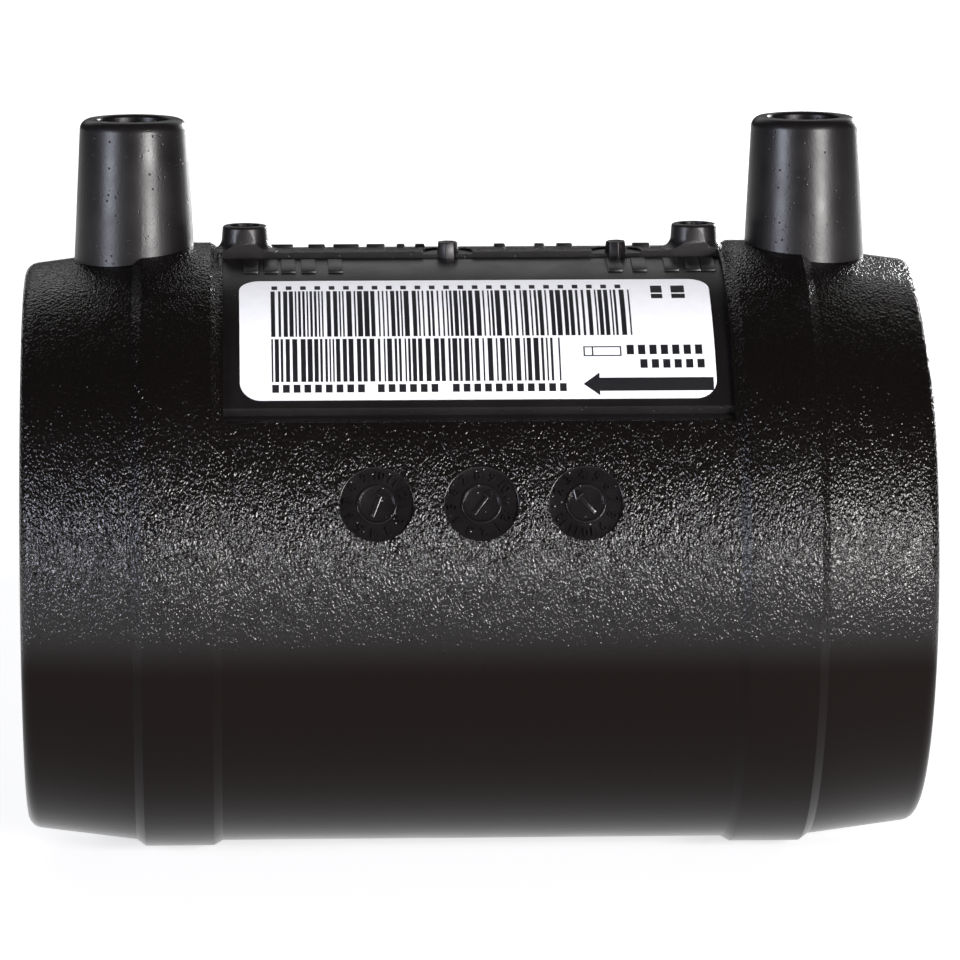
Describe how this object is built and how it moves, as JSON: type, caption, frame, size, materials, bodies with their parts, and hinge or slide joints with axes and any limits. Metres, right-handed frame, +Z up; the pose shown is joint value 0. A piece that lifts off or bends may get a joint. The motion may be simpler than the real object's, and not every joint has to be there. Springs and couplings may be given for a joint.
{
  "type": "electrofusion coupler",
  "caption": "Straight electrofusion coupler for plastic pipe: tubular body with a heating coil in the bore, shrouded terminals, fusion indicators and a barcode label.",
  "frame": {"origin": "on the bore axis, half way between the two mouths, at the stop ring where the pipe ends meet", "axes": "+X along the bore, +Z up towards the terminals, -Y towards the front, where the label is"},
  "size_m": [0.12, 0.0818, 0.0989],
  "materials": {
    "polyethylene": "matte",
    "resistance_wire": "satin",
    "pin_metal": "satin",
    "label_film": "satin"
  },
  "bodies": {
    "root": {"coupler_body": "polyethylene", "heating_wire": "resistance_wire", "terminal_pin_left": "pin_metal", "terminal_pin_right": "pin_metal", "barcode_label": "label_film"}
  },
  "joints": []
}
